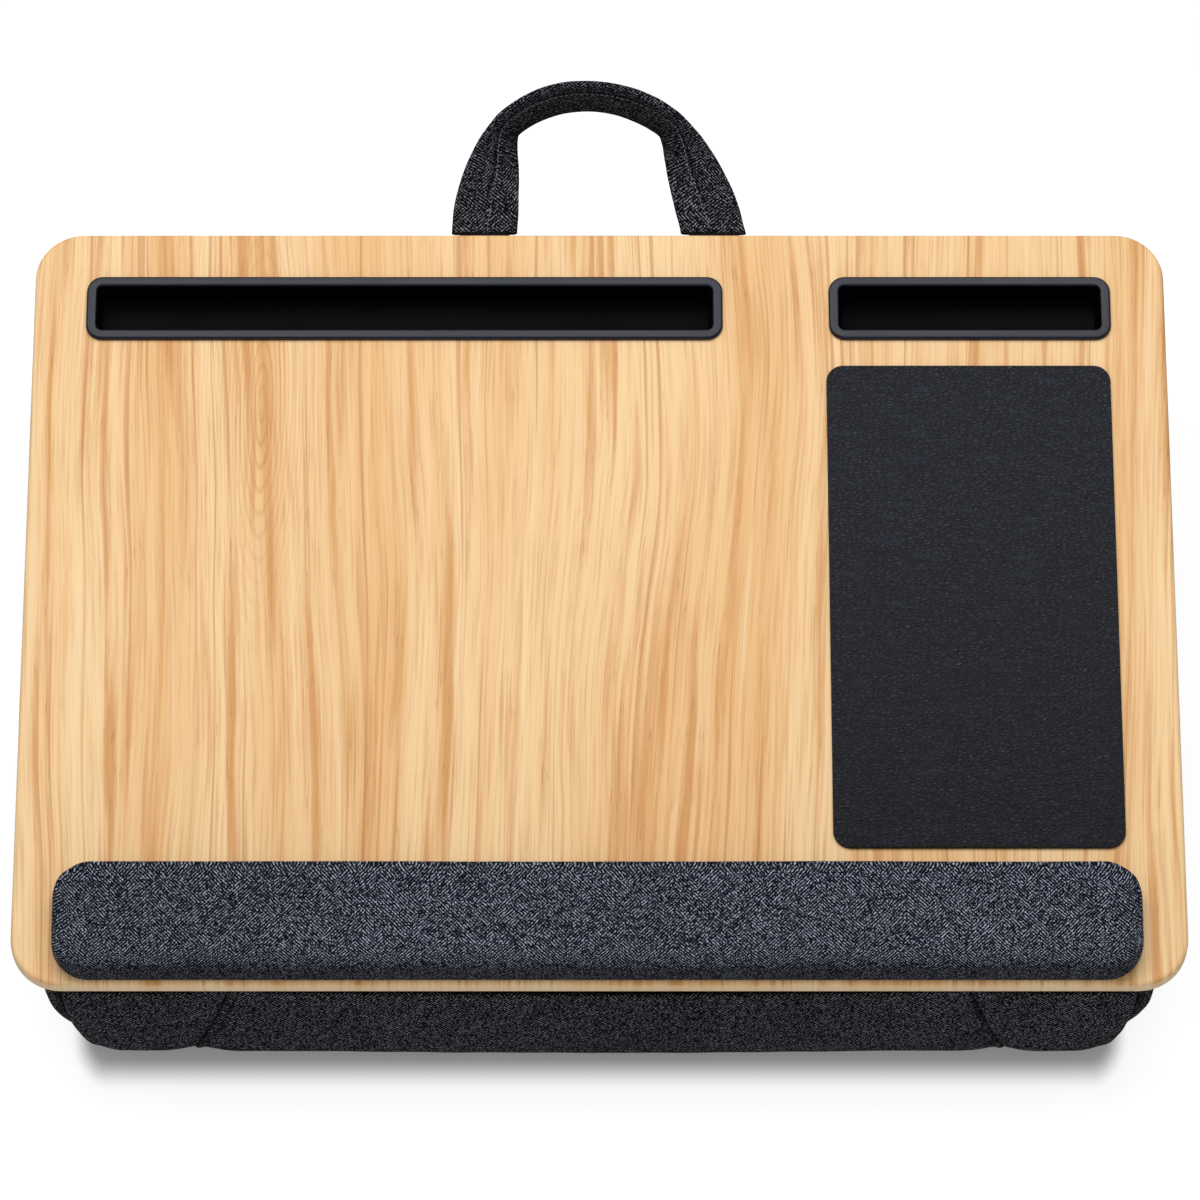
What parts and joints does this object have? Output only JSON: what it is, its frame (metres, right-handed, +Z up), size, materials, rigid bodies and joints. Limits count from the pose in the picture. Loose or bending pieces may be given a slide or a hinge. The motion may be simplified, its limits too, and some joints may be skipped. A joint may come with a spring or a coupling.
{
  "type": "lap desk",
  "caption": "Flat lap desk on two stuffed fabric bolsters, with a padded wrist rest, a mouse pad, slots for a tablet and a phone, and a folding strap handle",
  "frame": {"origin": "under the middle of the object's box, on the surface that the bolsters rest on", "axes": "+X to the user's right, +Y away from the user (the handle's side), +Z up"},
  "size_m": [0.56, 0.4898, 0.099],
  "materials": {
    "fibreboard": "raw medium-density fibreboard, matte",
    "wood_laminate": "light honey wood-grain laminate, grain front to back, satin",
    "tray_plastic": "moulded navy-black plastic, semi-gloss",
    "foam": "soft closed-cell foam, matte",
    "pad_leather": "black artificial leather with a fine wrinkled grain, low sheen",
    "rest_fabric": "blue-grey heather twill, matte",
    "hardboard": "brown hardboard, smooth and matte",
    "lining_fabric": "thin black lining cloth, matte",
    "screw_steel": "zinc-plated steel",
    "base_fabric": "charcoal heather cloth, matte",
    "filling": "loose polyester fibre filling, matte",
    "tab_plastic": "moulded black plastic, matte",
    "webbing": "woven black webbing, matte",
    "strap_fabric": "black woven cloth over padding, matte"
  },
  "bodies": {
    "base": {"board_core": "fibreboard", "board_laminate": "wood_laminate", "tablet_tray": "tray_plastic", "phone_tray": "tray_plastic", "mouse_pad_foam": "foam", "mouse_pad_skin": "pad_leather", "wrist_rest_plate": "fibreboard", "wrist_rest_foam": "foam", "wrist_rest_cover": "rest_fabric", "backing_panel": "hardboard", "panel_cloth": "lining_fabric", "screws": "screw_steel", "front_bolster_cover": "base_fabric", "front_bolster_filling": "filling", "rear_bolster_cover": "base_fabric", "rear_bolster_filling": "filling", "handle_tab_left": "tab_plastic", "handle_tab_right": "tab_plastic"},
    "handle": {"handle_webbing": "webbing", "handle_cover": "strap_fabric"}
  },
  "joints": [
    {"name": "handle_swing", "type": "hinge", "parent": "base", "child": "handle", "pos_m": [0, 0.1647, 0.0705], "axis": [1, 0, 0], "range_deg": [-46, 90]}
  ]
}
